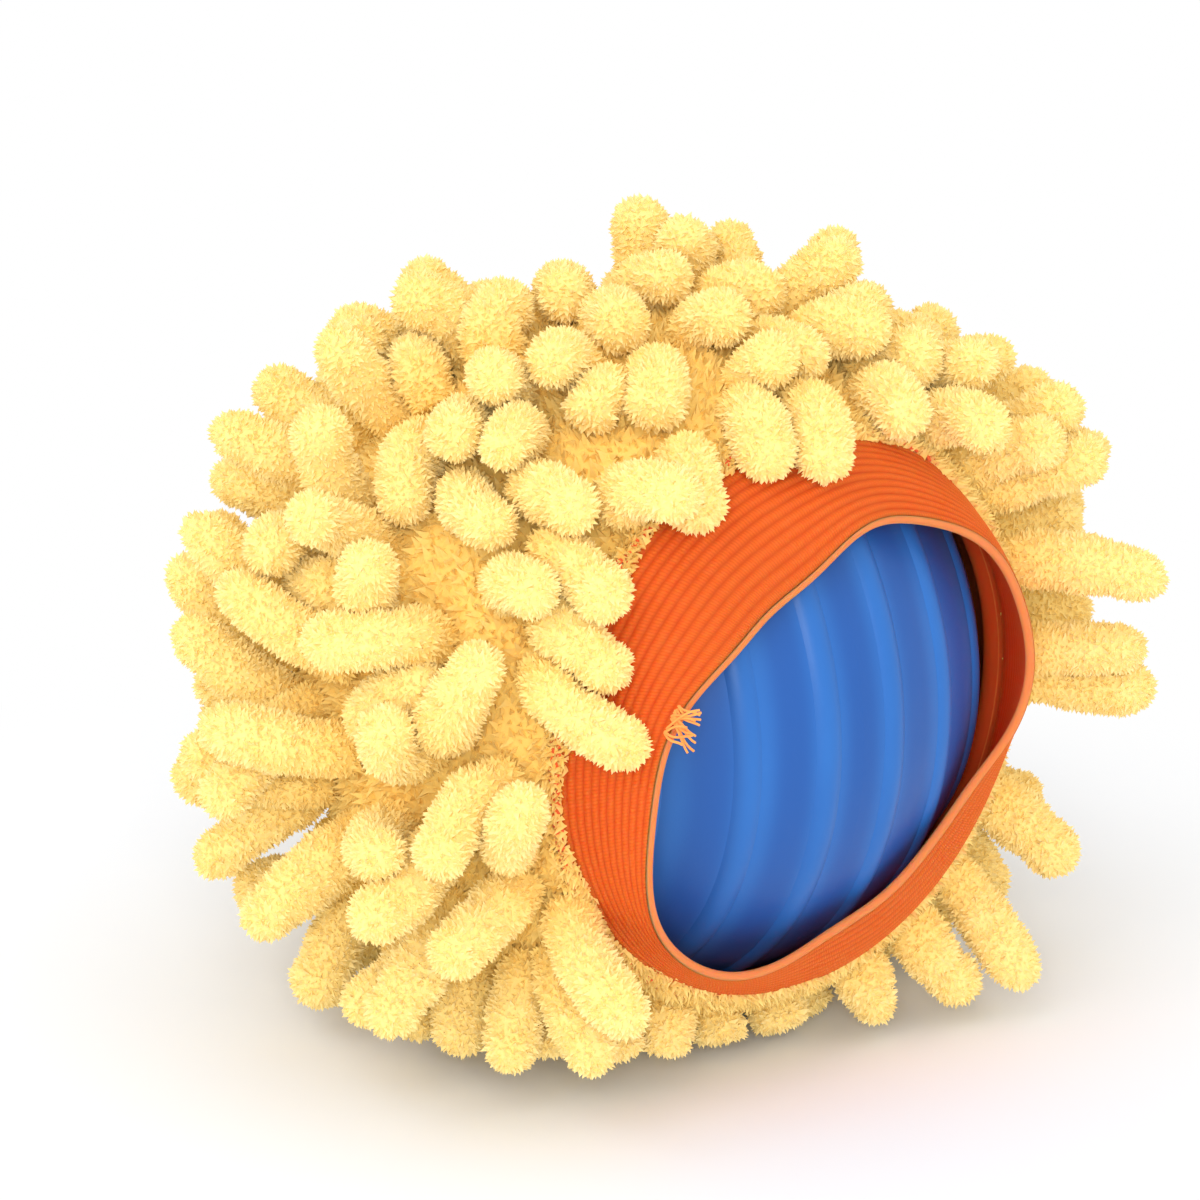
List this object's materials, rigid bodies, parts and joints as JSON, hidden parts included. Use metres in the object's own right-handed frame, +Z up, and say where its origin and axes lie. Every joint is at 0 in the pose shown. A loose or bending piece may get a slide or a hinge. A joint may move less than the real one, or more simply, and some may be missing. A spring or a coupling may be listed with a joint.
{
  "type": "electronic cat ball toy",
  "caption": "Motorised rolling ball for cats: a blue ringed shell turned by an inner geared drive unit, in a soft chenille noodle cover with an elastic mouth.",
  "frame": {"origin": "on the floor under the middle of the whole toy as it rests on its noodles", "axes": "+Z up; the cover's mouth faces -Y; the ball's drive axis runs along X"},
  "size_m": [0.1111, 0.0916, 0.0907],
  "materials": {
    "chenille": "soft matt chenille pile",
    "base_knit": "matt knitted base cloth",
    "elastic": "ribbed woven elastic",
    "shell_blue": "satin moulded plastic",
    "chassis_grey": "fine spark texture",
    "clamp_grey": "fine spark texture",
    "gear_white": "natural acetal, greased",
    "steel": "ground steel",
    "screw_steel": "zinc plated",
    "contact_nickel": "nickel plated spring steel",
    "bronze": "sintered bronze and brass",
    "motor_can_steel": "drawn and plated",
    "bell_white": "moulded",
    "cell_jacket": "plain printed sleeve",
    "board_green": "solder resist",
    "chip_black": "moulded epoxy",
    "capacitor_sleeve": "shrink sleeve",
    "sensor_gold": "plated can",
    "switch_black": "moulded",
    "knob_white": "moulded",
    "lead_red": "soft insulation",
    "lead_black": "soft insulation"
  },
  "bodies": {
    "cover": {"cover_fabric": "base_knit", "front_noodles": "chenille", "left_noodles": "chenille", "right_noodles": "chenille", "back_noodles": "chenille", "elastic_band": "elastic"},
    "drive_shell": {"drive_half": "shell_blue", "output_shaft": "steel", "output_gear": "gear_white"},
    "cap_shell": {"cap_half": "shell_blue"},
    "chassis": {"chassis_base": "chassis_grey", "gearbox_plate": "chassis_grey", "gear_pin": "steel", "motor_clamp": "clamp_grey", "battery_door": "chassis_grey", "left_cell": "cell_jacket", "right_cell": "cell_jacket", "contact_plates": "contact_nickel", "contact_springs": "contact_nickel", "motor_can": "motor_can_steel", "motor_end_bell": "bell_white", "motor_terminals": "bronze", "control_board": "board_green", "timer_chip": "chip_black", "capacitor": "capacitor_sleeve", "motion_sensor": "sensor_gold", "switch_body": "switch_black", "gearbox_screws": "screw_steel", "clamp_screws": "screw_steel", "board_screws": "screw_steel", "red_leads": "lead_red", "black_leads": "lead_black", "output_bush": "bronze"},
    "third_gear_set": {"third_gear": "gear_white"},
    "second_gear_set": {"second_gear": "gear_white"},
    "first_gear_set": {"first_gear": "gear_white"},
    "motor_rotor": {"motor_shaft": "steel", "motor_pinion": "gear_white"},
    "power_switch": {"switch_knob": "knob_white"}
  },
  "joints": [
    {"name": "ball_out", "type": "slide", "parent": "cover", "child": "drive_shell", "axis": [0, -1, 0], "range_m": [0, 0.095], "deforming": ["cover_fabric", "elastic_band", "front_noodles"]},
    {"name": "cap_twist", "type": "hinge", "parent": "drive_shell", "child": "cap_shell", "pos_m": [0, -0.0106, 0.0403], "axis": [1, 0, 0], "range_deg": [0, 30]},
    {"name": "drive_roll", "type": "hinge", "parent": "drive_shell", "child": "chassis", "pos_m": [0, -0.0106, 0.0403], "axis": [1, 0, 0], "continuous": true},
    {"name": "third_gear_spin", "type": "hinge", "parent": "chassis", "child": "third_gear_set", "pos_m": [0, -0.0106, 0.05035], "axis": [1, 0, 0], "continuous": true},
    {"name": "second_gear_spin", "type": "hinge", "parent": "chassis", "child": "second_gear_set", "pos_m": [0, -0.0106, 0.0403], "axis": [1, 0, 0], "continuous": true},
    {"name": "first_gear_spin", "type": "hinge", "parent": "chassis", "child": "first_gear_set", "pos_m": [0, -0.0106, 0.05035], "axis": [1, 0, 0], "continuous": true},
    {"name": "motor_spin", "type": "hinge", "parent": "chassis", "child": "motor_rotor", "pos_m": [0, -0.0106, 0.0403], "axis": [1, 0, 0], "continuous": true},
    {"name": "switch_slide", "type": "slide", "parent": "chassis", "child": "power_switch", "axis": [1, 0, 0], "range_m": [-0.001, 0.001]}
  ],
  "couplings": [
    {"joint": "third_gear_spin", "follows": "drive_roll", "ratio": 3},
    {"joint": "second_gear_spin", "follows": "drive_roll", "ratio": -9},
    {"joint": "first_gear_spin", "follows": "drive_roll", "ratio": 27},
    {"joint": "motor_spin", "follows": "drive_roll", "ratio": -81}
  ]
}
